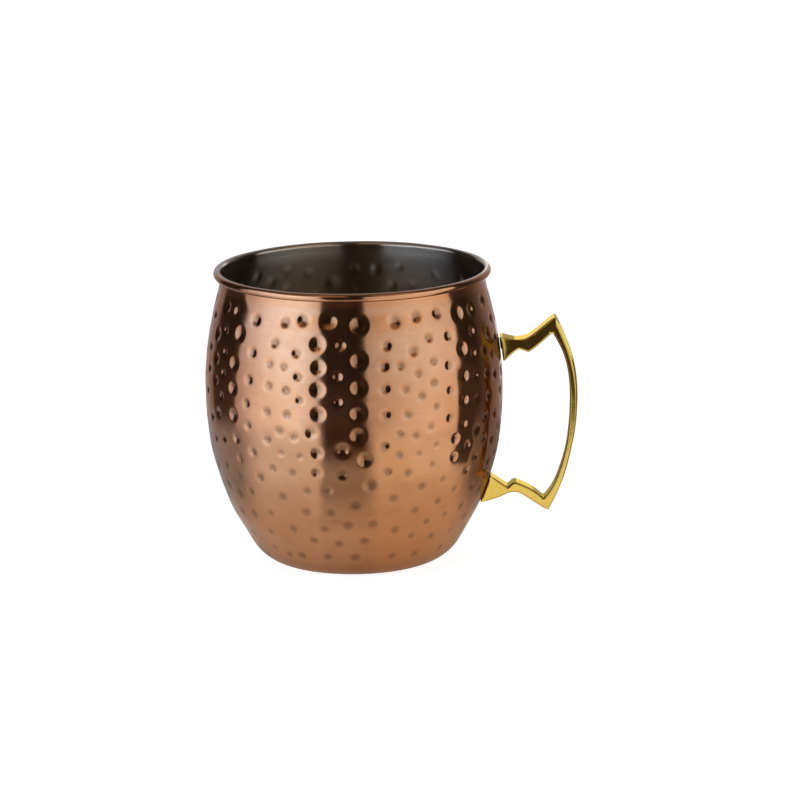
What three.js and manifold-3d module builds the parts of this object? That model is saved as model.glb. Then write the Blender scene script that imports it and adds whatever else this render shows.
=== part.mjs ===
// Hammered barrel mug: a single-wall drawn cup with a rolled rim and a cast
// brass side handle that stands off the wall on two welded studs.
// Millimetres, +Z up. Origin at the centre of the standing face, handle on +X.

import * as THREE from 'three';
import { mergeVertices } from 'three/addons/utils/BufferGeometryUtils.js';
import Module from 'manifold-3d';

// ---------------------------------------------------------------- dimensions
const SHEET = 0.6;            // wall thickness of the drawn sheet
const HEIGHT = 96.9;          // overall height, base to top of the rolled rim
const BASE_R = 21.0;          // radius of the flat standing face
const CORNER_R = 15.0;        // radius between standing face and wall
const CORNER_DEG = 56.9;      // how far that radius turns before the wall starts
const NECK_R = 43.2;          // outer radius of the short straight neck
const NECK_Z = 92.2;          // height where the neck starts
const CURL_R = 43.8;          // radius of the rolled rim's centre circle
const CURL_H = 0.9;           // sheet centre line in the roll: half width
const CURL_V = 1.05;          // sheet centre line in the roll: half height
const CURL_END_DEG = -96;     // the roll stops here, clear of the neck
const SEGMENTS = 56;          // facets round the cup

// outer wall between the corner radius and the neck, [radius, height]
const WALL = [
  [36.55, 11.9], [39.71, 17.43], [42.54, 24.12], [44.81, 30.81], [46.54, 37.5],
  [47.72, 45.8], [48.28, 54.2], [48.3, 61.0], [47.88, 67.62], [46.98, 74.8],
  [45.64, 81.8], [44.1, 88.1],
];

const HANDLE_DEPTH = 7.0;     // handle size across the mug (Y)
const HANDLE_EDGE = 0.6;      // eased edge along both side faces
const FOOT_GAP = 0.55;        // air between each foot and the wall

// side view of the handle, [x, z], clockwise from the top of the upper foot
const HANDLE = [
  // upper limb, top edge, rising to the thumb peak
  [50.3, 73.05], [52.9, 72.7], [55.4, 72.95], [57.4, 73.8], [59.4, 75.3],
  [61.9, 77.3], [64.1, 79.1], [65.6, 80.05],
  // outer edge of the grip
  [66.9, 77.7], [68.1, 75.1], [69.4, 71.9], [70.5, 69.0], [71.35, 66.0],
  [71.95, 63.0], [72.35, 60.0], [72.57, 57.0], [72.6, 54.0], [72.5, 50.7],
  [72.15, 45.8], [71.5, 41.3], [70.6, 37.0], [69.55, 32.5], [68.4, 28.4],
  [67.15, 25.0], [65.95, 22.1], [64.35, 18.8], [62.6, 15.65],
  // lower limb, underside, with the swell at the foot
  [60.35, 17.0], [57.8, 18.7], [54.7, 20.8], [53.2, 21.6], [51.75, 21.9],
  [50.3, 21.75], [49.2, 21.35], [47.0, 20.35], [44.7, 19.6], [42.7, 19.1],
  // (lower foot face goes in here)
  null,
  // lower limb, upper side, with the notch and knuckle
  [45.6, 26.35], [47.5, 25.0], [49.55, 23.6], [50.3, 24.2],
  [51.0, 24.9], [51.9, 25.2], [53.1, 24.85], [54.4, 24.3], [56.4, 23.3],
  [58.6, 21.85], [61.2, 19.65],
  // inner edge of the grip
  [62.4, 21.0], [63.65, 22.7], [65.0, 25.1], [66.0, 27.4], [66.85, 29.8],
  [67.55, 32.0], [68.3, 34.7], [68.85, 37.1], [69.4, 40.7], [69.8, 44.3],
  [70.1, 49.3], [70.2, 53.5], [70.08, 57.0], [69.75, 60.4], [69.15, 64.0],
  [68.2, 67.5], [67.0, 70.4], [65.75, 72.8], [64.65, 74.8],
  // underside of the upper limb, with the thumb bump and notch
  [62.2, 72.6], [59.9, 70.6], [57.9, 69.05], [56.85, 68.5], [55.3, 68.95],
  [53.75, 69.5], [52.4, 68.65], [50.8, 67.3], [49.6, 66.35],
  // (upper foot face goes in here)
  null,
];
const UPPER_FOOT = { low: 65.3, high: 73.75, stud: 70.9 };   // heights on the wall
const LOWER_FOOT = { low: 18.6, high: 27.6, stud: 23.2 };

const STUD_R = 1.1;           // stud radius
const STUD_IN = 3.6;          // stud length inside the foot
const STUD_CLEAR = 0.12;      // stud to wall, and collar to wall and foot
const BORE_R = 1.4;           // blind hole in the foot
const BORE_IN = 4.0;          // depth of the blind hole
const COLLAR_IN_R = 1.25;     // weld collar, inner radius
const COLLAR_R = 1.75;        // weld collar, radius at the wall
const COLLAR_TOP_R = 1.45;    // weld collar, radius at the foot

// ------------------------------------------------------------------- helpers
const rad = THREE.MathUtils.degToRad;

// outer wall as a smooth curve from the corner radius up to the neck
const cornerEnd = [
  BASE_R + CORNER_R * Math.sin(rad(CORNER_DEG)),
  CORNER_R * (1 - Math.cos(rad(CORNER_DEG))),
];
const wallCurve = new THREE.CatmullRomCurve3(
  [
    [BASE_R + CORNER_R * Math.sin(rad(CORNER_DEG - 8)), CORNER_R * (1 - Math.cos(rad(CORNER_DEG - 8)))],
    cornerEnd, ...WALL, [NECK_R, NECK_Z], [NECK_R, NECK_Z + 2.2],
  ].map(([r, z]) => new THREE.Vector3(r, z, 0)),
  false, 'centripetal',
);

// radius and slope of the outer wall at one height
function wallAt(z) {
  let lo = 0, hi = 1;
  for (let i = 0; i < 50; i++) {
    const mid = (lo + hi) / 2;
    if (wallCurve.getPoint(mid).y < z) lo = mid; else hi = mid;
  }
  const p = wallCurve.getPoint(lo), t = wallCurve.getTangent(lo);
  return { r: p.x, z: p.y, normal: new THREE.Vector3(t.y, 0, -t.x).normalize() };
}

function toSolid(wasm, geometry) {
  const g = geometry.clone();
  for (const name of Object.keys(g.attributes)) if (name !== 'position') g.deleteAttribute(name);
  const m = mergeVertices(g, 1e-4);
  const tri = [];
  for (let i = 0; i < m.index.count; i += 3) {
    const [a, b, c] = [m.index.getX(i), m.index.getX(i + 1), m.index.getX(i + 2)];
    if (a !== b && b !== c && c !== a) tri.push(a, b, c);
  }
  const mesh = new wasm.Mesh({
    numProp: 3,
    vertProperties: new Float32Array(m.attributes.position.array),
    triVerts: new Uint32Array(tri),
  });
  return new wasm.Manifold(mesh);
}

function fromSolid(solid) {
  const { vertProperties, triVerts, numProp } = solid.getMesh();
  const pos = [];
  for (let i = 0; i < vertProperties.length; i += numProp) {
    pos.push(vertProperties[i], vertProperties[i + 1], vertProperties[i + 2]);
  }
  const g = new THREE.BufferGeometry();
  g.setAttribute('position', new THREE.Float32BufferAttribute(pos, 3));
  g.setIndex(Array.from(triVerts));
  g.computeVertexNormals();
  return g;
}

function lathe(points, segments) {
  const g = new THREE.LatheGeometry(points.map(([r, z]) => new THREE.Vector2(r, z)), segments);
  g.rotateX(Math.PI / 2);
  return g;
}

// ------------------------------------------------------------------ cup body
function cupGeometry() {
  const outer = [], inner = [];
  // corner radius, outer side and inner side
  for (let i = 0; i <= 6; i++) {
    const a = rad(CORNER_DEG) * (i / 6);
    outer.push([BASE_R + CORNER_R * Math.sin(a), CORNER_R * (1 - Math.cos(a))]);
    inner.push([BASE_R + (CORNER_R - SHEET) * Math.sin(a), CORNER_R - (CORNER_R - SHEET) * Math.cos(a)]);
  }
  for (const [, z] of WALL) {
    const w = wallAt(z);
    outer.push([w.r, w.z]);
    inner.push([w.r - SHEET * w.normal.x, w.z - SHEET * w.normal.z]);
  }
  outer.push([NECK_R, NECK_Z]);
  inner.push([NECK_R - SHEET, NECK_Z]);
  // rolled rim: out over the top and down, ending clear of the neck
  const zc = HEIGHT - CURL_V - SHEET / 2;
  const n = 11, hollow = [], skin = [];
  for (let i = 0; i <= n; i++) {
    const a = rad(180 + (CURL_END_DEG - 180) * (i / n));
    const c = [CURL_R + CURL_H * Math.cos(a), zc + CURL_V * Math.sin(a)];
    const nx = Math.cos(a) / CURL_H, nz = Math.sin(a) / CURL_V, len = Math.hypot(nx, nz);
    hollow.push([c[0] - (SHEET / 2) * nx / len, c[1] - (SHEET / 2) * nz / len]);
    skin.push([c[0] + (SHEET / 2) * nx / len, c[1] + (SHEET / 2) * nz / len]);
  }
  const profile = [[0, 0], ...outer, ...hollow, ...skin.reverse(), ...inner.reverse(), [0, SHEET]];
  return lathe(profile, SEGMENTS);
}

// -------------------------------------------------------------------- handle
function footEdge({ low, high }) {
  return [low, high].map((z) => {
    const w = wallAt(z);
    return [w.r + FOOT_GAP * w.normal.x, w.z + FOOT_GAP * w.normal.z];
  });
}

function studFrame({ stud }) {
  const w = wallAt(stud);
  const m = new THREE.Matrix4().makeRotationFromQuaternion(
    new THREE.Quaternion().setFromUnitVectors(new THREE.Vector3(0, 0, 1), w.normal),
  );
  m.setPosition(w.r, 0, w.z);
  return m;
}

function handleGeometry(wasm) {
  const [lowA, lowB] = footEdge(LOWER_FOOT);
  const [upA, upB] = footEdge(UPPER_FOOT);
  const pts = [];
  let foot = 0;
  for (const p of HANDLE) {
    if (p) pts.push(p);
    else pts.push(...(foot++ === 0 ? [lowA, lowB] : [upA, upB]));
  }
  const shape = new THREE.Shape(pts.map(([x, z]) => new THREE.Vector2(x, z)));
  const g = new THREE.ExtrudeGeometry(shape, {
    depth: HANDLE_DEPTH - 2 * HANDLE_EDGE,
    bevelEnabled: true,
    bevelThickness: HANDLE_EDGE,
    bevelSize: HANDLE_EDGE,
    bevelOffset: -HANDLE_EDGE,
    bevelSegments: 2,
    curveSegments: 1,
  });
  g.translate(0, 0, -(HANDLE_DEPTH - 2 * HANDLE_EDGE) / 2);
  g.rotateX(Math.PI / 2);
  let solid = toSolid(wasm, g);
  for (const f of [UPPER_FOOT, LOWER_FOOT]) {
    const start = FOOT_GAP - 0.5, end = FOOT_GAP + BORE_IN;
    const bore = lathe([[0, start], [BORE_R, start], [BORE_R, end], [0, end]], 20);
    bore.applyMatrix4(studFrame(f));
    solid = solid.subtract(toSolid(wasm, bore));
  }
  return fromSolid(solid);
}

// ----------------------------------------------------------- studs and welds
function studGeometry() {
  const end = FOOT_GAP + STUD_IN;
  return lathe([
    [0, STUD_CLEAR], [STUD_R, STUD_CLEAR], [STUD_R, end - 0.3], [STUD_R - 0.3, end], [0, end],
  ], 20);
}

function collarGeometry() {
  const a = STUD_CLEAR, b = FOOT_GAP - STUD_CLEAR;
  const mid = (a + b) / 2;
  return lathe([
    [COLLAR_IN_R, a], [COLLAR_R, a], [(COLLAR_R + COLLAR_TOP_R) / 2 - 0.05, mid],
    [COLLAR_TOP_R, b], [COLLAR_IN_R, b], [COLLAR_IN_R, a],
  ], 24);
}

// ------------------------------------------------------------------ assembly
const wasm = await Module();
wasm.setup();

const copper = new THREE.MeshStandardMaterial({ color: 0xb9765a, roughness: 0.26, metalness: 1.0 });
const brass = new THREE.MeshStandardMaterial({ color: 0xd0a548, roughness: 0.24, metalness: 1.0 });
const steel = new THREE.MeshStandardMaterial({ color: 0xa89a86, roughness: 0.35, metalness: 1.0 });
const weld = new THREE.MeshStandardMaterial({ color: 0x8c6a35, roughness: 0.5, metalness: 1.0 });

function add(parent, name, geometry, material, matrix) {
  const mesh = new THREE.Mesh(geometry, material);
  mesh.name = name;
  if (matrix) matrix.decompose(mesh.position, mesh.quaternion, mesh.scale);
  parent.add(mesh);
  return mesh;
}

const group = new THREE.Group();
add(group, 'cup_body', cupGeometry(), copper);

const handleGroup = new THREE.Group();
add(handleGroup, 'handle', handleGeometry(wasm), brass);
add(handleGroup, 'upper_stud', studGeometry(), steel, studFrame(UPPER_FOOT));
add(handleGroup, 'lower_stud', studGeometry(), steel, studFrame(LOWER_FOOT));
add(handleGroup, 'upper_weld_collar', collarGeometry(), weld, studFrame(UPPER_FOOT));
add(handleGroup, 'lower_weld_collar', collarGeometry(), weld, studFrame(LOWER_FOOT));
group.add(handleGroup);

export default group;
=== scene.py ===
"""Hammered copper-plated barrel mug with a cast brass handle, dressed for rendering.

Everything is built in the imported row's frame: origin at the centre of the standing face,
+Z up, the handle on +X. Shapes are worked out in millimetres and stored in metres.
"""

import math

import bpy
import numpy as np
from mathutils import Matrix, Vector


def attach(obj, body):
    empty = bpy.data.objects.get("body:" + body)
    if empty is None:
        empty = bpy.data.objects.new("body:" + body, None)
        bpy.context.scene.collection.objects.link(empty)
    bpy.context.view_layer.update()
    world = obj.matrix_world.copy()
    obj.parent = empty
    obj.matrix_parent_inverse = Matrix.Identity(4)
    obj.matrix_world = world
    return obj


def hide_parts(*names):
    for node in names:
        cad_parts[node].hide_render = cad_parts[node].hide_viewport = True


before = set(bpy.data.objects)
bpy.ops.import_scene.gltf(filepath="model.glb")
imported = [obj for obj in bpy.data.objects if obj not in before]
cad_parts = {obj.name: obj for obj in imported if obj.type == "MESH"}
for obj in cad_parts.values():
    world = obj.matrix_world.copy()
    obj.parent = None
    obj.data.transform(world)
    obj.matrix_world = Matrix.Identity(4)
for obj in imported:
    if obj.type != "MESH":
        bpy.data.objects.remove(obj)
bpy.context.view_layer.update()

MM = 0.001

# ------------------------------------------------------------------ dimensions
SHEET = 0.6
HEIGHT = 96.9
BASE_R, CORNER_R, CORNER_DEG = 21.0, 15.0, 56.9
NECK_R, NECK_Z, NECK_TOP = 43.2, 92.2, 94.4
CURL_R, CURL_H, CURL_V, CURL_END = 43.8, 0.9, 1.05, -96.0
WALL = [
    (36.55, 11.9), (39.71, 17.43), (42.54, 24.12), (44.81, 30.81), (46.54, 37.5),
    (47.72, 45.8), (48.28, 54.2), (48.3, 61.0), (47.88, 67.62), (46.98, 74.8),
    (45.64, 81.8), (44.1, 88.1), (43.2, 92.2),
]
COLUMNS = 352

HANDLE_DEPTH, HANDLE_EDGE = 7.0, 0.62
UPPER_FOOT, LOWER_FOOT = (65.3, 73.75, 70.9, 0.52), (18.6, 27.6, 23.2, 0.16)  # low, high, stud, gap

# Peened dimples in the front half: angle round the axis from -Y towards +X in degrees,
# height in mm, radius in mm. The rest of the wall is filled with a scattered pattern.
DENTS = [
    (-65.0, 88.2, 2.59), (-56.6, 87.7, 2.11), (-28.6, 87.2, 2.43), (-20.6, 88.1, 2.59), (-9.4, 87.9, 3.40), (17.8, 87.4, 2.76),
    (27.5, 88.4, 2.43), (37.9, 88.4, 2.43), (49.5, 87.0, 3.24), (58.5, 87.1, 2.43), (71.2, 88.1, 2.43), (-77.7, 83.7, 1.95),
    (-51.9, 81.3, 2.76), (-43.6, 86.5, 2.76), (2.8, 86.8, 3.65), (32.2, 81.3, 2.11), (77.2, 81.4, 2.27), (-69.8, 78.8, 2.43),
    (-62.7, 81.0, 2.11), (-43.4, 76.3, 2.27), (-32.6, 80.3, 2.27), (-22.6, 77.7, 2.11), (-14.1, 80.8, 3.00), (-4.7, 80.6, 2.27),
    (2.3, 75.8, 3.32), (13.7, 80.1, 2.11), (24.6, 77.7, 2.43), (42.1, 80.8, 2.11), (48.6, 75.9, 2.59), (56.4, 80.4, 2.11),
    (69.1, 77.7, 2.11), (-76.2, 73.6, 1.95), (-67.9, 71.1, 2.27), (-60.8, 74.3, 1.95), (-53.6, 71.6, 2.43), (-34.3, 73.5, 1.95),
    (-27.7, 73.2, 1.95), (-21.5, 70.3, 2.11), (-13.5, 73.5, 2.59), (-6.0, 70.8, 2.11), (12.1, 73.6, 2.27), (18.6, 73.4, 1.95),
    (25.9, 70.5, 1.95), (33.3, 73.6, 1.95), (40.5, 71.6, 2.11), (55.1, 73.6, 1.95), (62.9, 73.2, 1.95), (69.5, 71.0, 1.95),
    (-75.1, 66.7, 1.95), (-67.1, 64.2, 1.95), (-60.9, 67.6, 1.95), (-53.5, 63.6, 2.27), (-44.3, 67.5, 2.11), (-34.4, 66.6, 2.11),
    (-26.4, 65.7, 2.11), (-13.7, 66.5, 2.76), (2.0, 67.2, 3.08), (12.2, 66.5, 2.27), (20.2, 65.9, 1.95), (27.0, 63.2, 1.95),
    (32.8, 66.9, 1.95), (40.4, 63.6, 1.95), (48.3, 67.5, 2.27), (55.2, 66.8, 1.95), (63.4, 65.8, 2.11), (70.9, 64.1, 2.11),
    (-77.0, 59.2, 1.95), (-61.7, 59.9, 1.78), (-45.4, 59.7, 1.95), (-35.1, 57.9, 1.95), (-26.0, 57.7, 1.95), (-20.7, 62.8, 1.78),
    (-13.5, 58.6, 2.67), (-5.9, 62.7, 1.95), (1.6, 59.0, 2.92), (12.2, 58.2, 2.11), (20.9, 57.8, 1.95), (33.5, 59.1, 1.62),
    (47.5, 59.6, 2.11), (54.9, 58.6, 1.78), (63.9, 58.2, 2.11), (-71.3, 51.6, 1.95), (-64.6, 53.9, 1.78), (-44.8, 52.4, 1.62),
    (-29.5, 52.1, 1.78), (-16.4, 52.4, 2.11), (1.4, 51.8, 3.08), (17.8, 51.7, 1.95), (30.8, 52.8, 1.62), (39.9, 54.5, 1.95),
    (47.1, 51.8, 1.78), (61.2, 52.0, 1.95), (69.9, 51.0, 1.95), (-61.1, 46.3, 1.78), (-52.3, 47.5, 2.11), (-35.4, 48.8, 1.95),
    (-29.5, 45.1, 1.78), (-23.4, 50.6, 1.62), (-14.4, 45.8, 2.11), (-4.3, 46.8, 2.76), (11.7, 48.1, 1.95), (24.3, 50.5, 1.78),
    (33.6, 46.6, 1.62), (42.7, 47.4, 1.78), (55.1, 48.4, 1.95), (-69.3, 44.9, 1.78), (-51.4, 40.6, 1.95), (-43.4, 43.9, 1.95),
    (-34.0, 39.3, 1.95), (-21.3, 44.5, 1.62), (-14.9, 39.2, 1.95), (4.0, 43.5, 2.59), (13.2, 39.2, 1.95), (17.7, 44.7, 1.95),
    (25.9, 44.5, 1.62), (32.3, 40.1, 1.62), (42.6, 41.4, 1.62), (50.0, 44.3, 1.95), (55.7, 39.3, 1.78), (61.1, 44.8, 1.78),
    (-54.5, 34.2, 2.11), (-41.2, 35.5, 1.95), (-25.1, 38.5, 1.95), (-10.7, 33.1, 2.27), (-4.7, 38.7, 2.43), (5.8, 34.8, 2.59),
    (21.6, 38.1, 1.95), (38.1, 34.2, 1.78), (50.9, 35.6, 1.78), (-48.9, 29.8, 1.95), (-31.3, 29.7, 2.11), (-19.5, 32.5, 1.95),
    (0.3, 28.2, 2.43), (16.2, 29.6, 2.27), (28.3, 32.8, 2.11), (46.3, 29.9, 1.78), (58.8, 29.0, 1.78), (-73.0, 25.1, 1.78),
    (-52.0, 21.5, 2.11), (-40.2, 23.0, 1.95), (-21.3, 25.0, 2.27), (-10.3, 25.6, 2.11), (7.6, 21.1, 2.43), (26.6, 24.6, 2.11),
    (37.6, 26.7, 1.78), (43.7, 21.4, 1.78), (54.2, 22.9, 1.78), (-44.9, 15.8, 1.95), (-29.6, 18.5, 2.11), (-13.9, 19.3, 1.95),
    (-3.2, 20.9, 2.43), (18.3, 18.3, 2.27), (27.5, 15.4, 1.95), (33.9, 20.0, 1.78), (-48.1, 9.8, 1.78), (-20.6, 14.7, 2.11),
    (-8.2, 13.7, 2.11), (4.3, 14.8, 2.11), (39.9, 14.0, 1.78), (53.2, 14.3, 1.62), (-38.7, 8.0, 1.62), (-30.2, 8.3, 1.95),
    (-15.2, 8.5, 2.11), (-0.4, 8.5, 2.27), (19.6, 8.3, 2.11), (33.0, 8.1, 1.95), (51.8, 8.4, 1.78),
]


# -------------------------------------------------------------------- helpers
def smooth(x, a, b):
    t = np.clip((x - a) / (b - a), 0.0, 1.0)
    return t * t * (3 - 2 * t)


def cubic(xs, ys, d0, d1):
    """Clamped cubic spline y(x), with the given end slopes."""
    xs, ys = np.asarray(xs, float), np.asarray(ys, float)
    n, h = len(xs), np.diff(xs)
    a, b = np.zeros((n, n)), np.zeros(n)
    a[0, 0], a[0, 1], b[0] = 2 * h[0], h[0], 6 * ((ys[1] - ys[0]) / h[0] - d0)
    a[-1, -1], a[-1, -2] = 2 * h[-1], h[-1]
    b[-1] = 6 * (d1 - (ys[-1] - ys[-2]) / h[-1])
    for i in range(1, n - 1):
        a[i, i - 1], a[i, i], a[i, i + 1] = h[i - 1], 2 * (h[i - 1] + h[i]), h[i]
        b[i] = 6 * ((ys[i + 1] - ys[i]) / h[i] - (ys[i] - ys[i - 1]) / h[i - 1])
    m = np.linalg.solve(a, b)

    def at(x):
        x = np.asarray(x, float)
        i = np.clip(np.searchsorted(xs, x) - 1, 0, n - 2)
        t, u, w = x - xs[i], xs[i + 1] - x, h[i]
        return (
            m[i] * u**3 / (6 * w) + m[i + 1] * t**3 / (6 * w)
            + (ys[i] / w - m[i] * w / 6) * u + (ys[i + 1] / w - m[i + 1] * w / 6) * t
        )

    return at


_a = math.radians(CORNER_DEG)
CORNER_END = (BASE_R + CORNER_R * math.sin(_a), CORNER_R * (1 - math.cos(_a)))
_pts = [CORNER_END, *WALL, (NECK_R, NECK_TOP)]
wall_r = cubic([p[1] for p in _pts], [p[0] for p in _pts], 1 / math.tan(_a), 0.0)


def wall_at(z):
    """Outer radius of the undented wall and its outward normal (r, z) at one height."""
    d = float(wall_r(z + 0.05) - wall_r(z - 0.05)) / 0.1
    n = math.hypot(1, d)
    return float(wall_r(z)), (1 / n, -d / n)


# the undented outer profile as a dense line, with arc length and normals
_line = [(r, 0.0) for r in np.linspace(0, BASE_R, 43)]
_line += [
    (BASE_R + CORNER_R * math.sin(t), CORNER_R * (1 - math.cos(t)))
    for t in np.linspace(0, _a, 80)[1:]
]
_line += [(float(wall_r(z)), z) for z in np.linspace(CORNER_END[1], NECK_TOP, 700)[1:]]
LINE = np.array(_line)
ARC = np.r_[0, np.cumsum(np.hypot(*np.diff(LINE, axis=0).T))]
_t = np.gradient(LINE, ARC, axis=0)
_t /= np.linalg.norm(_t, axis=1)[:, None]
NORM = np.stack([_t[:, 1], -_t[:, 0]], 1)


def profile_at(s):
    r, z = np.interp(s, ARC, LINE[:, 0]), np.interp(s, ARC, LINE[:, 1])
    n = np.stack([np.interp(s, ARC, NORM[:, 0]), np.interp(s, ARC, NORM[:, 1])], 1)
    return r, z, n / np.linalg.norm(n, axis=1)[:, None]


# ---------------------------------------------------------------- dimple field
rng = np.random.default_rng(20)


def on_wall(deg, z):
    s = float(np.interp(z, LINE[42:, 1], ARC[42:]))
    r = float(np.interp(s, ARC, LINE[:, 0]))
    t = math.radians(deg)
    return np.array([r * math.sin(t), -r * math.cos(t), z])


dents = [(*on_wall(a, z), r) for a, z, r in DENTS]
_have = [d[:3] for d in dents]
_s0, _s1 = float(np.interp(5.0, LINE[42:, 1], ARC[42:])), float(np.interp(89.2, LINE[42:, 1], ARC[42:]))
for _ in range(26000):
    s, a = rng.uniform(_s0, _s1), rng.uniform(-180, 180)
    r = float(np.interp(s, ARC, LINE[:, 0]))
    if rng.uniform(0, 48.4) > r or abs(a) < 52:
        continue
    z = float(np.interp(s, ARC, LINE[:, 1]))
    p = on_wall(a, z)
    if np.min(np.linalg.norm(np.array(_have) - p, axis=1)) < (6.5 if z < 78 else 7.0):
        continue
    _have.append(p)
    size = rng.uniform(1.9, 2.4) if rng.uniform() < 0.62 else rng.uniform(2.5, 3.4)
    dents.append((*p, size))
dents = np.array(dents)
_r = dents[:, 3]
_slope = np.interp(_r, [1.7, 2.2, 2.8, 3.3, 3.7], [0.44, 0.44, 0.33, 0.215, 0.190])
_fade = np.interp(dents[:, 2], [6, 18, 32, 42], [0.22, 0.30, 0.55, 1.0])
_reach = _r * 1.12
_depth = _slope * _reach / 1.717 * _fade

_k = rng.normal(size=(14, 3))
_k *= (2 * math.pi / rng.uniform(9, 24, 14) / np.linalg.norm(_k, axis=1))[:, None]
_ph = rng.uniform(0, 2 * math.pi, 14)


# how dark each dimple's hollow is painted: partly patina, partly painted dark reflection
_hollow_dark_amount = rng.uniform(0.72, 1.0, len(dents))


def dent_field(p):
    """Push-in in mm at undented outer points p (rows, columns, 3), and how much darker each point's colour is
    painted in the dimple hollows, partly patina and partly painted dark reflection.
    """
    out, hollow_dark = np.zeros(p.shape[:2]), np.zeros(p.shape[:2])
    zs, rs = p[:, 0, 2], np.hypot(p[:, 0, 0], p[:, 0, 1])
    for (x, y, z, r), reach, depth, dark in zip(dents, _reach, _depth, _hollow_dark_amount):
        rows = np.nonzero(
            (np.abs(zs - z) < reach) & (np.abs(rs - math.hypot(x, y)) < reach)
        )[0]
        if not len(rows):
            continue
        q = p[rows] - np.array([x, y, z])
        t = (q * q).sum(-1) / (reach * reach)
        out[rows] += depth * np.where(t < 1, (1 - t) ** 3, 0)
        spot = t * (reach / min(reach, 2.9)) ** 2
        hollow_dark[rows] = np.maximum(hollow_dark[rows], dark * np.maximum(1 - spot, 0) ** 1.6)
    return out, hollow_dark


def ripple(p):
    w = np.zeros(p.shape[:2])
    for k, f in zip(_k, _ph):
        w += np.sin(p @ k + f)
    return 0.0062 * w


# ------------------------------------------------------------------------ mesh
def new_object(name, verts, faces, smooth_all=True):
    me = bpy.data.meshes.new(name)
    me.from_pydata([tuple(v) for v in np.asarray(verts) * MM], [], faces)
    me.validate(verbose=False)
    me.polygons.foreach_set("use_smooth", [smooth_all] * len(me.polygons))
    ob = bpy.data.objects.new(name, me)
    bpy.context.scene.collection.objects.link(ob)
    return ob


def ring_faces(rows, cols, start=0):
    """Quads between consecutive closed rings of vertices."""
    i = np.arange(rows - 1)[:, None] * cols + start
    j = np.arange(cols)[None, :]
    k = (j + 1) % cols
    q = np.stack([i + j, i + k, i + cols + k, i + cols + j], -1).reshape(-1, 4)
    return q.tolist()


def build_cup():
    ang = np.arange(COLUMNS) / COLUMNS * 2 * math.pi
    c, s_ = np.sin(ang), -np.cos(ang)

    def rings(rz):
        rz = np.asarray(rz)
        if rz.ndim == 2:
            rz = np.repeat(rz[:, None, :], COLUMNS, 1)
        return np.stack([rz[..., 0] * c, rz[..., 0] * s_, rz[..., 1]], -1)

    end = ARC[-1]
    s_out = np.r_[19.6, np.linspace(BASE_R, end, 127)]
    s_in = np.r_[19.6, np.linspace(BASE_R, end, 93)][::-1]

    def skin(s, offset, depth):
        r, z, n = profile_at(s)
        base = rings(np.stack([r, z], 1))
        mask = smooth(z, 1.5, 8.0) * (1 - smooth(z, 89.0, 92.5))
        d, hollow_dark = dent_field(base)
        d = d * depth * mask[:, None]
        w = ripple(base) * (smooth(z, 2.0, 12.0) * (1 - 0.6 * smooth(z, 86, 93)))[:, None]
        push = offset + d - w
        rz = np.stack([r[:, None] - n[:, :1] * push, z[:, None] - n[:, 1:] * push], -1)
        return rings(rz), hollow_dark

    outer, d_out = skin(s_out, 0.0, 1.0)
    inner, d_in = skin(s_in, SHEET, 0.88)

    zc = HEIGHT - CURL_V - SHEET / 2
    wob = 0.02 * (np.sin(3 * ang + 1.0) + np.sin(7 * ang + 0.4) + 0.7 * np.sin(13 * ang + 2.2))
    wov = 0.018 * (np.sin(4 * ang + 2.0) + np.sin(9 * ang + 1.4) + 0.7 * np.sin(17 * ang))

    def curl(angles, half, blend):
        rows = []
        for a, b in zip(angles, blend):
            a = math.radians(a)
            nx, nz = math.cos(a) / CURL_H, math.sin(a) / CURL_V
            l = math.hypot(nx, nz)
            r = CURL_R + CURL_H * math.cos(a) + half * nx / l
            z = zc + CURL_V * math.sin(a) + half * nz / l
            rows.append(np.stack([r + b * wob, z + b * wov], -1))
        return rings(np.array(rows))

    a_hollow = np.linspace(180, CURL_END, 9)
    hollow = curl(a_hollow, -SHEET / 2, np.linspace(0, 1, 9))
    tip = curl([CURL_END - 4], 0.0, [1.0])
    a_skin = np.linspace(CURL_END, 180, 31)
    skin_rows = curl(a_skin, SHEET / 2, np.r_[np.ones(22), np.linspace(1, 0, 9)])

    blocks = [outer, hollow, tip, skin_rows, inner]
    body = np.concatenate(blocks)
    rows = len(body)
    copper_rows = len(outer) + len(hollow) + 1 + int(np.sum(a_skin < 78))
    verts = body.reshape(-1, 3).tolist()
    faces = ring_faces(rows, COLUMNS)
    mats = np.repeat((np.arange(rows - 1) >= copper_rows).astype(int), COLUMNS).tolist()
    # both faces of the flat bottom close in rings that halve their count towards the axis
    for first, z, mat in ((0, 0.0, 0), ((rows - 1) * COLUMNS, SHEET, 1)):
        count = COLUMNS
        for radius in (17.0, 13.0, 8.5, 4.5):
            half, start = count // 2, len(verts)
            t = np.arange(half) / half * 2 * math.pi
            verts += np.stack([radius * np.sin(t), -radius * np.cos(t), np.full(half, z)], 1).tolist()
            for j in range(half):
                a, b = start + j, start + (j + 1) % half
                f0, f1, f2 = (first + (2 * j + i) % count for i in range(3))
                tris = [[a, f0, f1], [a, f1, b], [b, f1, f2]]
                faces += tris if mat == 0 else [q[::-1] for q in tris]
                mats += [mat] * 3
            first, count = start, half
        verts.append([0, 0, z])
        for j in range(count):
            q = [len(verts) - 1, first + j, first + (j + 1) % count]
            faces.append(q if mat == 0 else q[::-1])
            mats.append(mat)
    ob = new_object("cup", verts, faces)
    import bmesh

    bm = bmesh.new()
    bm.from_mesh(ob.data)
    bmesh.ops.recalc_face_normals(bm, faces=bm.faces)
    bm.to_mesh(ob.data)
    bm.free()
    dent = np.zeros(len(verts))
    dent[: d_out.size] = d_out.ravel()
    dent[rows * COLUMNS - d_in.size : rows * COLUMNS] = d_in.ravel()
    at = ob.data.attributes.new("dent", "FLOAT", "POINT")
    at.data.foreach_set("value", dent.astype(np.float32))
    ob.data.polygons.foreach_set("material_index", mats)
    sub = ob.modifiers.new("round", "SUBSURF")
    sub.levels, sub.render_levels = 0, 1
    return ob


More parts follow.
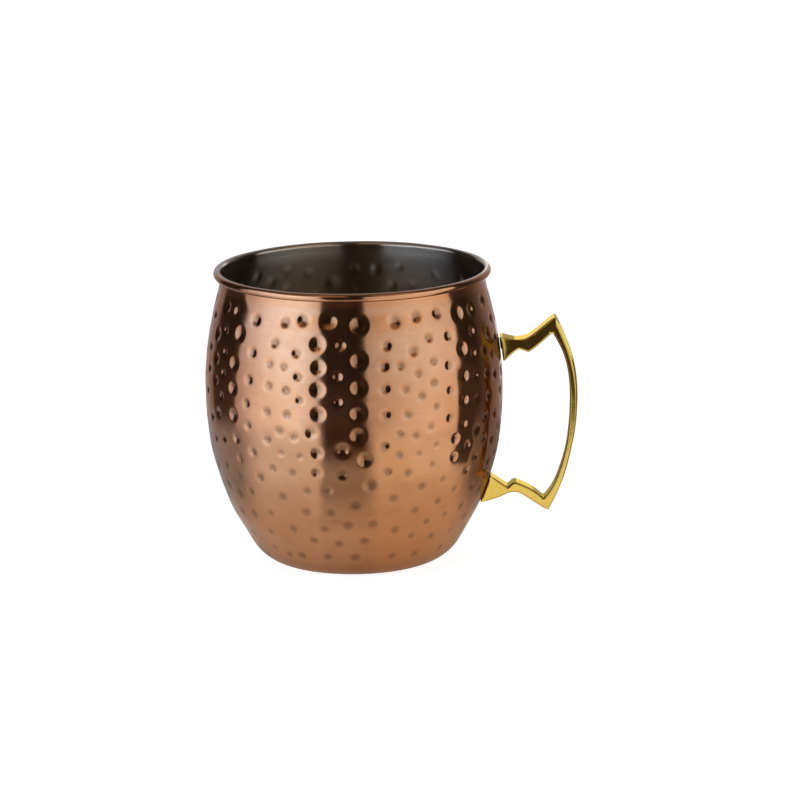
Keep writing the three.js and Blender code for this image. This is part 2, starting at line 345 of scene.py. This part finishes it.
# ---------------------------------------------------------------------- handle
def catmull(points, step=0.45):
    """Centripetal curve through the points, resampled evenly, both ends kept."""
    p = np.asarray(points, float)
    if len(p) == 2:
        n = max(1, int(round(np.linalg.norm(p[1] - p[0]) / step)))
        return p[0] + (p[1] - p[0]) * np.linspace(0, 1, n + 1)[:, None]
    q = np.vstack([2 * p[0] - p[1], p, 2 * p[-1] - p[-2]])
    out = []
    for i in range(len(p) - 1):
        a, b, c, d = q[i : i + 4]
        t0 = 0.0
        t1 = t0 + np.linalg.norm(b - a) ** 0.5
        t2 = t1 + np.linalg.norm(c - b) ** 0.5
        t3 = t2 + np.linalg.norm(d - c) ** 0.5
        for t in np.linspace(t1, t2, 24, endpoint=False):
            a1 = (t1 - t) / (t1 - t0) * a + (t - t0) / (t1 - t0) * b
            a2 = (t2 - t) / (t2 - t1) * b + (t - t1) / (t2 - t1) * c
            a3 = (t3 - t) / (t3 - t2) * c + (t - t2) / (t3 - t2) * d
            b1 = (t2 - t) / (t2 - t0) * a1 + (t - t0) / (t2 - t0) * a2
            b2 = (t3 - t) / (t3 - t1) * a2 + (t - t1) / (t3 - t1) * a3
            out.append((t2 - t) / (t2 - t1) * b1 + (t - t1) / (t2 - t1) * b2)
    out.append(p[-1])
    out = np.array(out)
    arc = np.r_[0, np.cumsum(np.linalg.norm(np.diff(out, axis=0), axis=1))]
    n = max(2, int(round(arc[-1] / step)))
    s = np.linspace(0, arc[-1], n + 1)
    return np.stack([np.interp(s, arc, out[:, 0]), np.interp(s, arc, out[:, 1])], 1)


def foot_edge(foot):
    pts = []
    for z in foot[:2]:
        r, n = wall_at(z)
        pts.append((r + foot[3] * n[0], z + foot[3] * n[1]))
    return pts


def handle_outline():
    """Side view [x, z] of the handle as runs between corners, with each corner's rounding."""
    low_a, low_b = foot_edge(LOWER_FOOT)
    up_a, up_b = foot_edge(UPPER_FOOT)
    runs = [
        ([up_b, (52.9, 72.7), (55.4, 72.95), (57.4, 73.8), (59.4, 75.3), (61.9, 77.3),
          (64.1, 79.1), (65.6, 80.05)], 0.45),
        ([(65.6, 80.05), (66.9, 77.7), (68.1, 75.1), (69.4, 71.9), (70.5, 69.0),
          (71.35, 66.0), (71.95, 63.0), (72.35, 60.0), (72.57, 57.0), (72.6, 54.0),
          (72.5, 50.7), (72.15, 45.8), (71.5, 41.3), (70.6, 37.0), (69.55, 32.5),
          (68.4, 28.4), (67.15, 25.0), (65.95, 22.1), (64.35, 18.8), (62.6, 15.65)], 0.5),
        ([(62.6, 15.65), (60.35, 17.0), (57.8, 18.7), (54.7, 20.8), (53.2, 21.6),
          (51.75, 21.9), (50.3, 21.75), (49.2, 21.35), (47.0, 20.35), (44.7, 19.6),
          low_a], 0.35),
        ([low_a, low_b], 0.35),
        ([low_b, (45.6, 26.35), (47.5, 25.0), (49.55, 23.6)], 0.25),
        ([(49.55, 23.6), (50.3, 24.2), (51.0, 24.9), (51.9, 25.2), (53.1, 24.85),
          (54.4, 24.3), (56.4, 23.3), (58.6, 21.85), (61.2, 19.65)], 0.5),
        ([(61.2, 19.65), (62.4, 21.0), (63.65, 22.7), (65.0, 25.1), (66.0, 27.4),
          (66.85, 29.8), (67.55, 32.0), (68.3, 34.7), (68.85, 37.1), (69.4, 40.7),
          (69.8, 44.3), (70.1, 49.3), (70.2, 53.5), (70.08, 57.0), (69.75, 60.4),
          (69.15, 64.0), (68.2, 67.5), (67.0, 70.4), (65.75, 72.8), (64.65, 74.8)], 0.5),
        ([(64.65, 74.8), (62.2, 72.6), (59.9, 70.6), (57.9, 69.05), (56.85, 68.5),
          (55.3, 68.95), (53.75, 69.5)], 0.3),
        ([(53.75, 69.5), (52.4, 68.65), (50.8, 67.3), up_a], 0.35),
        ([up_a, up_b], 0.4),
    ]
    lines = [catmull(p) for p, _ in runs]
    outline = []
    for i, line in enumerate(lines):
        nxt, rho = lines[(i + 1) % len(lines)], runs[i][1]
        # the corner at the end of this run, rounded by an arc
        c = line[-1]
        u = line[max(-4, -len(line))] - c
        v = nxt[min(3, len(nxt) - 1)] - c
        u, v = u / np.linalg.norm(u), v / np.linalg.norm(v)
        half = math.acos(float(np.clip(np.dot(u, v), -1, 1))) / 2
        cut = rho / math.tan(half)
        keep = [q for q in line if np.linalg.norm(q - c) > cut + 0.12]
        runs_prev = lines[i - 1][-1]
        prev_cut = outline_cut.get((i - 1) % len(lines), 0.0)
        keep = [q for q in keep if np.linalg.norm(q - runs_prev) > prev_cut + 0.12] if i else keep
        outline += keep
        bis = (u + v) / np.linalg.norm(u + v)
        centre = c + bis * rho / math.sin(half)
        a0, a1 = c + u * cut - centre, c + v * cut - centre
        t0, t1 = math.atan2(a0[1], a0[0]), math.atan2(a1[1], a1[0])
        dt = (t1 - t0 + math.pi) % (2 * math.pi) - math.pi
        for k in range(7):
            t = t0 + dt * k / 6
            outline.append(centre + rho * np.array([math.cos(t), math.sin(t)]))
        outline_cut[i] = cut
    first = lines[0][0]
    cut = outline_cut[len(lines) - 1]
    n0 = 0
    while np.linalg.norm(outline[n0] - first) < cut + 0.12:
        n0 += 1
    return np.array(outline[n0:])


outline_cut = {}


def build_handle():
    o = handle_outline()
    n = len(o)
    e = np.roll(o, -1, 0) - o
    e /= np.linalg.norm(e, axis=1)[:, None]
    en = np.stack([-e[:, 1], e[:, 0]], 1)  # left of travel; the run goes clockwise, so outward
    vn = en + np.roll(en, 1, 0)
    vn /= np.linalg.norm(vn, axis=1)[:, None]
    miter = 1 / np.clip((vn * en).sum(1), 0.5, 1)
    if (o[:, 0] * np.roll(o[:, 1], -1) - np.roll(o[:, 0], -1) * o[:, 1]).sum() > 0:
        vn = -vn
    b, h = HANDLE_EDGE, HANDLE_DEPTH / 2
    x, z = o[:, 0], o[:, 1]
    # how far the easing reaches over each side face: wide along the outside of the grip's upper half
    wide = 1.0 + 1.45 * smooth(z, 46, 70) * smooth(vn[:, 0], 0.35, 0.8) * (x > 64)
    cuts = [((65.6, 80.05), 0.22, 0.62), ((62.6, 15.65), 0.22, 0.62)]
    cuts += [(c, 0.14, 0.30) for c in foot_edge(LOWER_FOOT) + foot_edge(UPPER_FOOT)]
    for (cx, cz), least, grow in cuts:
        away = np.hypot(x - cx, z - cz)
        wide = np.minimum(wide, (least + grow * np.maximum(away - 0.6, 0)) / b)
    # the feet swell a little towards the wall
    t = np.where(z > 45, np.clip((51.2 - x) / 3.4, 0, 1), np.clip((50.0 - x) / 7.5, 0, 1))
    swell = np.where(z > 45, 0.19, 0.15)
    flare, slope = swell * t**2, 2 * swell * t / np.where(z > 45, 3.4, 7.5)
    rings, normals = [], []
    steps = [math.radians(a) for a in (90, 75, 60, 45, 30, 15, 0)]
    order = [(-1, a) for a in steps] + [(0, 0)] * 3 + [(1, a) for a in steps[::-1]]
    flat = iter(np.linspace(-1, 1, 5)[1:-1])
    for side, a in order:
        if side:
            y, inset = side * (h - b + b * math.sin(a)), b * wide * (1 - math.cos(a))
        else:
            y, inset, a = next(flat) * (h - b), 0.0, 0.0
        out, ny = math.cos(a), side * math.sin(a) * wide
        p = o - vn * (miter * inset)[:, None]
        rings.append(np.stack([p[:, 0], y * (1 + flare / h), p[:, 1]], 1))
        normals.append(np.stack([vn[:, 0] * out + slope * np.abs(ny), ny + np.zeros(n), vn[:, 1] * out], 1))
    verts, nors = np.concatenate(rings), np.concatenate(normals)
    faces = ring_faces(len(rings), n)
    faces.append(list(range(n)))
    faces.append(list(range((len(rings) - 1) * n, len(rings) * n))[::-1])
    return verts, nors, faces, n


def finish_handle():
    verts, nors, faces, n = build_handle()
    ob = new_object("handle_cast", verts, faces)
    import bmesh

    bm = bmesh.new()
    bm.from_mesh(ob.data)
    bmesh.ops.recalc_face_normals(bm, faces=bm.faces)
    bmesh.ops.triangulate(bm, faces=[f for f in bm.faces if len(f.verts) > 4])
    bm.to_mesh(ob.data)
    bm.free()
    ob.data.normals_split_custom_set_from_vertices([tuple(v) for v in nors / np.linalg.norm(nors, axis=1)[:, None]])
    return ob


# --------------------------------------------------------- studs and weld beads
def stud_matrix(foot):
    z = foot[2]
    r, nrm = wall_at(z)
    axis = Vector((nrm[0], 0, nrm[1]))
    m = axis.to_track_quat("Z", "Y").to_matrix().to_4x4()
    m.translation = Vector((r, 0, z))
    return m


def turned(name, rz, cols, matrix, wobble=0.0, seed=1):
    g = np.random.default_rng(seed)
    ang = np.arange(cols) / cols * 2 * math.pi
    w = 1 + wobble * (np.sin(5 * ang + g.uniform(0, 6)) + 0.6 * np.sin(9 * ang + g.uniform(0, 6)))
    verts, faces = [], []
    closed = rz[0][0] > 1e-9
    for r, z in rz:
        f = w if r > 1e-9 else 1
        verts.append(np.stack([r * f * np.cos(ang), r * f * np.sin(ang), np.full(cols, z)], 1))
    v = np.concatenate(verts)
    rows = len(rz)
    if closed:
        faces = ring_faces(rows, cols)
        for j in range(cols):
            k = (j + 1) % cols
            faces.append([(rows - 1) * cols + j, (rows - 1) * cols + k, k, j])
    else:
        faces = ring_faces(rows - 2, cols, cols)
        base = np.array([[0, 0, rz[0][1]], [0, 0, rz[-1][1]]])
        v = np.concatenate([v, base])
        a, z = len(v) - 2, len(v) - 1
        for j in range(cols):
            k = (j + 1) % cols
            faces += [[a, cols + k, cols + j], [z, (rows - 2) * cols + j, (rows - 2) * cols + k]]
    m = np.array(matrix)
    v = v @ m[:3, :3].T + m[:3, 3]
    ob = new_object(name, v, faces)
    import bmesh

    bm = bmesh.new()
    bm.from_mesh(ob.data)
    loose = [x for x in bm.verts if not x.link_faces]
    bmesh.ops.delete(bm, geom=loose, context="VERTS")
    bmesh.ops.recalc_face_normals(bm, faces=bm.faces)
    bm.to_mesh(ob.data)
    bm.free()
    return ob


# ------------------------------------------------------------------- materials
class Nodes:
    """Small helper that adds nodes and links to one tree."""

    def __init__(self, tree):
        self.t = tree

    def add(self, kind, inputs=None, **props):
        n = self.t.nodes.new(kind)
        for k, v in props.items():
            setattr(n, k, v)
        for k, v in (inputs or {}).items():
            self.put(n.inputs[k], v)
        return n

    def put(self, socket, v):
        if isinstance(v, bpy.types.NodeSocket):
            self.t.links.new(v, socket)
        else:
            socket.default_value = v

    def math(self, op, a, b=0.0, c=0.0, clamp=False):
        n = self.t.nodes.new("ShaderNodeMath")
        n.operation, n.use_clamp = op, clamp
        for s, v in zip(n.inputs, (a, b, c)):
            self.put(s, v)
        return n.outputs[0]

    def ramp(self, value, a, b, lo=0.0, hi=1.0):
        n = self.add("ShaderNodeMapRange", {"Value": value, "From Min": a, "From Max": b,
                     "To Min": lo, "To Max": hi}, interpolation_type="SMOOTHSTEP")
        return n.outputs["Result"]

    def mix(self, f, a, b, mode="MIX"):
        n = self.t.nodes.new("ShaderNodeMix")
        n.data_type, n.blend_type = "RGBA", mode
        self.put(n.inputs[0], f)
        self.put(n.inputs[6], a)
        self.put(n.inputs[7], b)
        return n.outputs[2]

    def noise(self, vec, scale, detail=3.0, rough=0.5):
        n = self.add("ShaderNodeTexNoise", {"Vector": vec, "Scale": scale, "Detail": detail,
                     "Roughness": rough})
        return n.outputs["Fac"]

    def scaled(self, vec, x, y, z):
        return self.add("ShaderNodeMapping", {"Vector": vec, "Scale": (x, y, z)}).outputs[0]


def material(name):
    m = bpy.data.materials.new(name)
    m.use_nodes = True
    m.node_tree.nodes.clear()
    n = Nodes(m.node_tree)
    out = n.add("ShaderNodeOutputMaterial")
    bsdf = n.add("ShaderNodeBsdfPrincipled")
    m.node_tree.links.new(bsdf.outputs[0], out.inputs[0])
    return m, n, bsdf


def grey(v):
    return (v, v, v, 1.0)


def mat_copper():
    m, n, b = material("copper_brushed")
    pos = n.add("ShaderNodeTexCoord").outputs["Object"]
    streak = n.noise(n.scaled(pos, 22, 22, 1300), 1.0, 3.0, 0.55)
    fine = n.noise(n.scaled(pos, 60, 60, 4200), 1.0, 2.0, 0.5)
    cloud = n.noise(pos, 38.0, 3.0, 0.5)
    blotch = n.noise(n.scaled(pos, 1, 1, 1.6), 105.0, 4.0, 0.6)
    dent = n.add("ShaderNodeAttribute", attribute_name="dent").outputs["Fac"]
    col = n.mix(n.ramp(cloud, 0.36, 0.66), (0.76, 0.385, 0.21, 1), (0.70, 0.335, 0.165, 1))
    col = n.mix(n.ramp(blotch, 0.46, 0.78, 0.0, 0.42), col, (0.56, 0.26, 0.14, 1))
    col = n.mix(n.ramp(streak, 0.40, 0.72, 0.0, 0.14), col, (0.62, 0.29, 0.16, 1))
    # the dimple hollows are painted darker: partly patina, partly painted dark reflection
    col = n.mix(n.ramp(dent, 0.05, 0.9, 0.0, 0.80), col, (0.345, 0.185, 0.105, 1))
    # the copper round each handle foot is painted darker: painted shade of the handle where it meets the wall
    for foot in (UPPER_FOOT, LOWER_FOOT):
        spot = n.add("ShaderNodeVectorMath", {0: pos, 1: stud_matrix(foot).translation * MM}, operation="DISTANCE")
        far = n.math("ADD", spot.outputs["Value"], n.math("MULTIPLY", blotch, 0.004))
        col = n.mix(n.ramp(far, 0.006, 0.022, 0.55, 0.0), col, (0.30, 0.14, 0.08, 1))
    rough = n.math("ADD", n.ramp(blotch, 0.35, 0.75, 0.110, 0.165), n.ramp(streak, 0.3, 0.7, -0.01, 0.02))
    height = n.math("ADD", n.math("MULTIPLY", streak, 1.0), n.math("MULTIPLY", fine, 0.35))
    bump = n.add("ShaderNodeBump", {"Strength": 1.0, "Distance": 0.0000042, "Height": height})
    tangent = n.add("ShaderNodeTangent", direction_type="RADIAL", axis="Z")
    n.put(b.inputs["Base Color"], col)
    n.put(b.inputs["Roughness"], rough)
    n.put(b.inputs["Normal"], bump.outputs[0])
    n.put(b.inputs["Tangent"], tangent.outputs[0])
    b.inputs["Metallic"].default_value = 1.0
    b.inputs["Anisotropic"].default_value = 0.55
    b.inputs["Anisotropic Rotation"].default_value = 0.25
    return m


def mat_steel(name, base, dark, rough0, aniso=0.5, lip_highlight_colour=None):
    m, n, b = material(name)
    pos = n.add("ShaderNodeTexCoord").outputs["Object"]
    streak = n.noise(n.scaled(pos, 20, 20, 1500), 1.0, 3.0, 0.55)
    cloud = n.noise(pos, 45.0, 3.0, 0.5)
    col = n.mix(n.ramp(cloud, 0.35, 0.7), base, dark)
    col = n.mix(n.ramp(streak, 0.45, 0.75, 0.0, 0.20), col, dark)
    if lip_highlight_colour:
        height = n.add("ShaderNodeSeparateXYZ", {"Vector": pos}).outputs[2]
        # painted highlight at the lip: the steel is made lighter and warmer towards the rim than deeper inside
        col = n.mix(n.ramp(height, 0.084, 0.0925), col, lip_highlight_colour)
    rough = n.math("ADD", n.ramp(cloud, 0.3, 0.7, rough0, rough0 + 0.04), n.ramp(streak, 0.3, 0.7, 0.0, 0.02))
    if lip_highlight_colour:
        rough = n.math("ADD", rough, n.ramp(height, 0.0875, 0.0965, 0.0, -0.20))
    bump = n.add("ShaderNodeBump", {"Strength": 1.0, "Distance": 0.0000004, "Height": streak})
    n.put(b.inputs["Base Color"], col)
    n.put(b.inputs["Roughness"], rough)
    n.put(b.inputs["Normal"], bump.outputs[0])
    b.inputs["Metallic"].default_value = 1.0
    if aniso:
        tangent = n.add("ShaderNodeTangent", direction_type="RADIAL", axis="Z")
        n.put(b.inputs["Tangent"], tangent.outputs[0])
        b.inputs["Anisotropic"].default_value = aniso
        b.inputs["Anisotropic Rotation"].default_value = 0.25
    return m


def mat_brass():
    m, n, b = material("brass_polished")
    pos = n.add("ShaderNodeTexCoord").outputs["Object"]
    cloud = n.noise(pos, 70.0, 3.0, 0.5)
    scratch = n.noise(n.scaled(pos, 900, 120, 160), 1.0, 4.0, 0.6)
    cast = n.noise(pos, 260.0, 2.0, 0.5)
    col = n.mix(n.ramp(cloud, 0.35, 0.68), (0.97, 0.71, 0.165, 1), (0.94, 0.665, 0.145, 1))
    col = n.mix(n.ramp(scratch, 0.55, 0.8, 0.0, 0.25), col, (0.84, 0.56, 0.13, 1))
    rough = n.math("ADD", n.ramp(cloud, 0.3, 0.7, 0.09, 0.13), n.ramp(scratch, 0.4, 0.7, 0.0, 0.04))
    height = n.math("ADD", n.math("MULTIPLY", cast, 1.0), n.math("MULTIPLY", scratch, 0.12))
    bump = n.add("ShaderNodeBump", {"Strength": 1.0, "Distance": 0.00003, "Height": height})
    n.put(b.inputs["Base Color"], col)
    n.put(b.inputs["Roughness"], rough)
    n.put(b.inputs["Normal"], bump.outputs[0])
    b.inputs["Metallic"].default_value = 1.0
    b.inputs["Specular Tint"].default_value = (1.0, 0.87, 0.46, 1)
    return m


def mat_weld():
    m, n, b = material("weld_tinted")
    pos = n.add("ShaderNodeTexCoord").outputs["Object"]
    lump = n.noise(pos, 900.0, 4.0, 0.6)
    tint = n.noise(pos, 420.0, 2.0, 0.5)
    col = n.mix(n.ramp(tint, 0.35, 0.65), (0.17, 0.10, 0.045, 1), (0.085, 0.048, 0.024, 1))
    bump = n.add("ShaderNodeBump", {"Strength": 0.9, "Distance": 0.00012, "Height": lump})
    n.put(b.inputs["Base Color"], col)
    n.put(b.inputs["Roughness"], n.ramp(lump, 0.3, 0.7, 0.66, 0.82))
    n.put(b.inputs["Normal"], bump.outputs[0])
    b.inputs["Metallic"].default_value = 1.0
    b.inputs["Specular Tint"].default_value = (0.42, 0.30, 0.20, 1)
    return m


# ---------------------------------------------------------------------- pieces
copper = mat_copper()
steel_in = mat_steel("steel_inside", (0.585, 0.445, 0.325, 1), (0.535, 0.40, 0.29, 1), 0.38, 0.93,
                     lip_highlight_colour=(0.62, 0.51, 0.41, 1))
steel_stud = mat_steel("steel_stud", (0.50, 0.46, 0.41, 1), (0.34, 0.29, 0.24, 1), 0.34, 0.0)
brass = mat_brass()
weld = mat_weld()

cup = build_cup()
cup.data.materials.append(copper)
cup.data.materials.append(steel_in)
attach(cup, "root")
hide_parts("cup_body")

handle = finish_handle()
handle.data.materials.append(brass)
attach(handle, "root")
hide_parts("handle")

STUD = [(0, 0.12), (0.9, 0.12), (1.05, 0.2), (1.1, 0.35), (1.1, 2.2), (1.1, 3.7), (1.02, 3.95),
        (0.8, 4.12), (0.4, 4.15), (0, 4.15)]
BEAD = [(1.25, 0.14), (1.5, 0.12), (1.75, 0.12), (1.92, 0.15), (1.93, 0.2), (1.88, 0.27),
        (1.82, 0.34), (1.76, 0.40), (1.68, 0.44), (1.5, 0.46), (1.25, 0.45), (1.25, 0.28)]
for tag, foot, seed in (("upper", UPPER_FOOT, 3), ("lower", LOWER_FOOT, 5)):
    m = stud_matrix(foot)
    bead_rz = [(r, 0.12 + (z - 0.12) * min(1.0, (foot[3] - 0.15) / 0.34)) for r, z in BEAD]
    stud = turned(f"{tag}_stud_pin", STUD, 40, m)
    stud.data.materials.append(steel_stud)
    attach(stud, "root")
    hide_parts(f"{tag}_stud")
    bead = turned(f"{tag}_weld_bead", bead_rz, 72, m, wobble=0.008, seed=seed)
    bead.data.materials.append(weld)
    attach(bead, "root")
    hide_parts(f"{tag}_weld_collar")

# ----------------------------------------------------------------------- stage
def disc(name, radius, z, segments=128):
    a = np.arange(segments) / segments * 2 * math.pi
    v = np.stack([radius * np.cos(a), radius * np.sin(a), np.full(segments, z)], 1)
    ob = new_object(name, v / MM, [list(range(segments))], smooth_all=False)
    return ob


floor = disc("floor", 6.0, 0.0)
fm, fn, fb = material("floor_white")
fn.put(fb.inputs["Base Color"], grey(0.82))
fb.inputs["Roughness"].default_value = 0.9
fb.inputs["Specular IOR Level"].default_value = 0.0
fb.inputs["Emission Color"].default_value = grey(1.0)
fb.inputs["Emission Strength"].default_value = 0.90
floor.data.materials.append(fm)
floor.visible_glossy = False


def window(n, x, a, b, sa, sb):
    """1 between a and b, with soft ends."""
    return n.math("MULTIPLY", n.ramp(x, a - sa, a + sa), n.ramp(x, b - sb, b + sb, 1.0, 0.0))


def bearing(n, x, y):
    """Angle in degrees from -Y towards +X."""
    return n.math("MULTIPLY", n.math("ARCTAN2", x, n.math("MULTIPLY", y, -1.0)), 180 / math.pi)


# painted reflection of the table near the mug, seen only by the metal: a glowing pale pool that ends some 20 cm out
table = disc("table_glow", 0.26, -0.0004, 96)
tm = bpy.data.materials.new("table_glow")
tm.use_nodes = True
tm.node_tree.nodes.clear()
n = Nodes(tm.node_tree)
pos = n.add("ShaderNodeNewGeometry").outputs["Position"]
xyz = n.add("ShaderNodeSeparateXYZ", {"Vector": pos})
x, y = xyz.outputs[0], xyz.outputs[1]
rad = n.math("MULTIPLY", n.math("SQRT", n.math("ADD", n.math("MULTIPLY", x, x), n.math("MULTIPLY", y, y))), 1000.0)
az = bearing(n, x, y)
far = n.mix(n.ramp(az, -60.0, 40.0), (0.80, 0.90, 1.02, 1), (0.82, 0.79, 0.70, 1))
near = n.mix(n.ramp(az, -60.0, 40.0), (0.56, 0.52, 0.48, 1), (0.60, 0.50, 0.385, 1))
col = n.mix(n.ramp(rad, 45.0, 120.0), near, far)
# a darker wedge in front and darker zones to the sides: painted reflections of the dark gaps beside the lights
mid = n.math("MULTIPLY", window(n, az, -22.5, 11.5, 4.0, 7.0), n.ramp(rad, 46.0, 84.0, 0.10, 0.58))
mid = n.math("MULTIPLY", mid, n.ramp(rad, 105.0, 175.0, 1.0, 1.75))
turn = n.math("ABSOLUTE", n.math("ADD", az, -3.0))
side = n.math("MULTIPLY", n.ramp(turn, 64.0, 98.0), n.ramp(rad, 46.0, 92.0, 0.28, 0.78))
lift = n.math("MULTIPLY", n.ramp(turn, 100.0, 135.0), n.ramp(rad, 62.0, 105.0, 0.36, 0.02))
side = n.math("MULTIPLY", side, n.math("SUBTRACT", 1.0, lift))
side = n.math("MULTIPLY", side, n.ramp(az, -20.0, 20.0, 0.84, 1.06))
# painted contact shadow round the base, tinted by the copper's own reflection
col = n.mix(n.ramp(rad, 24.0, 47.0, 0.62, 0.0), col, (0.16, 0.075, 0.035, 1))
col = n.mix(n.math("MAXIMUM", mid, side), col, (0.035, 0.018, 0.014, 1))
again = n.math("GREATER_THAN", n.add("ShaderNodeLightPath").outputs["Ray Depth"], 1.5)
col = n.mix(again, col, n.mix(1.0, col, (0.42, 0.35, 0.30, 1), "MULTIPLY"))
glow = n.add("ShaderNodeEmission", {"Color": col, "Strength": 1.0})
clear = n.add("ShaderNodeBsdfTransparent")
fade = n.ramp(rad, 165.0, 250.0)
mixs = n.add("ShaderNodeMixShader", {0: fade, 1: glow.outputs[0], 2: clear.outputs[0]})
out = n.add("ShaderNodeOutputMaterial", {0: mixs.outputs[0]})
table.data.materials.append(tm)

# cards beyond the picture: pale ones behind the handle's limbs, a dark one beside the grip
def card(name, corners, colour):
    ob = new_object(name, np.array(corners), [[0, 1, 2, 3]], False)
    m = bpy.data.materials.new(name)
    m.use_nodes = True
    m.node_tree.nodes.clear()
    n = Nodes(m.node_tree)
    glow = n.add("ShaderNodeEmission", {"Color": colour, "Strength": 1.0})
    n.add("ShaderNodeOutputMaterial", {0: glow.outputs[0]})
    ob.data.materials.append(m)
    return ob


cards = [
    card("card_high", [[22, 150, 76], [64, 150, 76], [64, 150, 140], [22, 150, 140]], (0.98, 0.97, 0.94, 1)),
    card("card_low", [[68, 150, 29], [93, 150, 29], [93, 150, 55], [68, 150, 55]], (0.98, 0.97, 0.94, 1)),
    card("card_dark", [[98, -37, 5], [98, -8, 5], [98, -8, 66], [98, -37, 66]], (0.055, 0.045, 0.035, 1)),
]
for ob in (table, *cards):
    ob.visible_camera = False
    ob.visible_diffuse = False
    ob.visible_shadow = False
    ob.visible_transmission = False

# soft studio light all round: two large soft lights in front with dark gaps beside them
world = bpy.data.worlds.new("studio")
bpy.context.scene.world = world
world.use_nodes = True
world.node_tree.nodes.clear()
n = Nodes(world.node_tree)
direction = n.add("ShaderNodeTexCoord").outputs["Generated"]
xyz = n.add("ShaderNodeSeparateXYZ", {"Vector": direction})
x, y, z = xyz.outputs[0], xyz.outputs[1], xyz.outputs[2]
az = bearing(n, x, y)
el = n.math("MULTIPLY", n.math("ARCSINE", z), 180 / math.pi)
LIGHT = [  # angle in degrees, colour of the light from there
    (-180, (0.36, 0.38, 0.42)), (-164, (0.42, 0.45, 0.52)), (-146, (0.27, 0.26, 0.29)),
    (-98, (0.64, 0.74, 1.02)), (-76, (1.06, 1.34, 1.80)), (-58, (1.20, 1.64, 2.26)),
    (-44, (1.18, 1.62, 2.24)), (-32, (0.94, 1.20, 1.62)), (-24, (0.64, 0.77, 0.95)),
    (10, (0.56, 0.61, 0.66)), (24, (0.68, 0.75, 0.82)), (50, (0.90, 1.05, 1.20)),
    (66, (0.98, 1.14, 1.32)), (84, (0.90, 0.98, 1.08)), (98, (0.76, 0.80, 0.84)),
    (124, (0.19, 0.175, 0.175)), (148, (0.25, 0.24, 0.26)), (164, (0.42, 0.44, 0.50)),
    (180, (0.35, 0.37, 0.41)),
]
ramp = n.t.nodes.new("ShaderNodeValToRGB")
ramp.color_ramp.interpolation = "LINEAR"
els = ramp.color_ramp.elements
while len(els) < len(LIGHT):
    els.new(0.5)
for i, (deg, c_) in enumerate(LIGHT):
    els[i].position = (deg + 180) / 360
    els[i].color = (*(v / 2.5 for v in c_), 1.0)
n.put(ramp.inputs[0], n.math("ADD", n.math("DIVIDE", az, 360.0), 0.5))
light = n.mix(1.0, ramp.outputs[0], grey(2.5), "MULTIPLY")
warm = n.mix(n.ramp(el, -14.0, 14.0), (0.98, 0.84, 0.72, 1), (1.0, 1.0, 1.0, 1))
light = n.mix(1.0, light, warm, "MULTIPLY")
# dark gaps beside the lights; the left one's edge leans with height
lean = n.math("MULTIPLY", n.math("SUBTRACT", n.math("MINIMUM", n.math("MAXIMUM", el, -18.0), 14.0), 6.0), 0.30)
high = n.ramp(el, 17.0, 30.0)
g1 = n.math("MULTIPLY", window(n, az, -27.0, 9.8, 1.0, 1.2), n.ramp(el, 26.0, 36.0, 1.0, 0.0))
g4 = n.math("MULTIPLY", window(n, az, -6.6, 20.0, 2.0, 2.0), high)
g2 = n.math("MULTIPLY", n.ramp(az, -144.0, -137.0), n.ramp(n.math("SUBTRACT", az, lean), -101.5, -98.5, 1.0, 0.0))
g3 = n.math("MULTIPLY", n.ramp(n.math("SUBTRACT", az, n.math("MULTIPLY", lean, 0.25)), 91.5, 94.5), n.ramp(az, 112.0, 146.0, 1.0, 0.0))
gaps = n.math("MAXIMUM", n.math("MAXIMUM", g1, g4), n.math("MAXIMUM", g2, g3))
dim = n.mix(n.ramp(az, 0.0, 14.0), (0.56, 0.40, 0.285, 1), (0.385, 0.31, 0.26, 1))
dim = n.mix(window(n, az, -36.0, 64.0, 6.0, 8.0), (0.15, 0.10, 0.07, 1), dim)
dim = n.mix(n.math("MULTIPLY", n.ramp(el, 18.0, 32.0), window(n, az, -100.0, 100.0, 10.0, 10.0)), grey(1.0), dim)
light = n.mix(1.0, light, dim, "MULTIPLY")
warm = n.mix(n.math("MULTIPLY", n.ramp(el, 11.0, 20.0), window(n, az, -70.0, 70.0, 14.0, 14.0)), grey(1.0), (1.05, 0.83, 0.62, 1))
light = n.mix(1.0, light, warm, "MULTIPLY")
deep = n.mix(n.ramp(el, -16.0, 4.0), (0.062, 0.050, 0.043, 1), (0.027, 0.023, 0.019, 1))
brown = n.mix(n.ramp(el, -16.0, 4.0), (0.040, 0.026, 0.019, 1), (0.020, 0.016, 0.013, 1))
deep = n.mix(window(n, az, -1.0, 40.0, 3.0, 3.0), deep, brown)
light = n.mix(gaps, light, deep)
light = n.mix(n.ramp(el, 50.0, 68.0), light, (0.12, 0.112, 0.105, 1))
path = n.add("ShaderNodeLightPath")
light = n.mix(n.math("GREATER_THAN", path.outputs["Ray Depth"], 2.5), light, n.mix(1.0, light, (0.24, 0.23, 0.22, 1), "MULTIPLY"))
light = n.mix(path.outputs["Is Camera Ray"], light, grey(1.1))
bg = n.add("ShaderNodeBackground", {"Color": light, "Strength": 1.0})
n.add("ShaderNodeOutputWorld", {0: bg.outputs[0]})
world.cycles.sampling_method = "MANUAL"
world.cycles.sample_map_resolution = 1024

# ---------------------------------------------------------------------- camera
cam = bpy.data.cameras.new("camera")
cam.lens, cam.sensor_width, cam.sensor_fit = 266.03, 36.0, "HORIZONTAL"
cam.clip_start, cam.clip_end = 0.05, 50
view = bpy.data.objects.new("camera", cam)
bpy.context.scene.collection.objects.link(view)
pitch, roll = math.radians(90 - 12.553), math.radians(-0.861)
view.matrix_world = (
    Matrix.Translation(Vector((14.861, -1878.795, 470.852)) * MM)
    @ Matrix.Rotation(pitch, 4, "X")
    @ Matrix.Rotation(roll, 4, "Z")
)
bpy.context.scene.camera = view
bpy.context.scene.view_settings.view_transform = "Standard"
bpy.context.scene.view_settings.look = "None"
bpy.context.scene.cycles.use_denoising = True
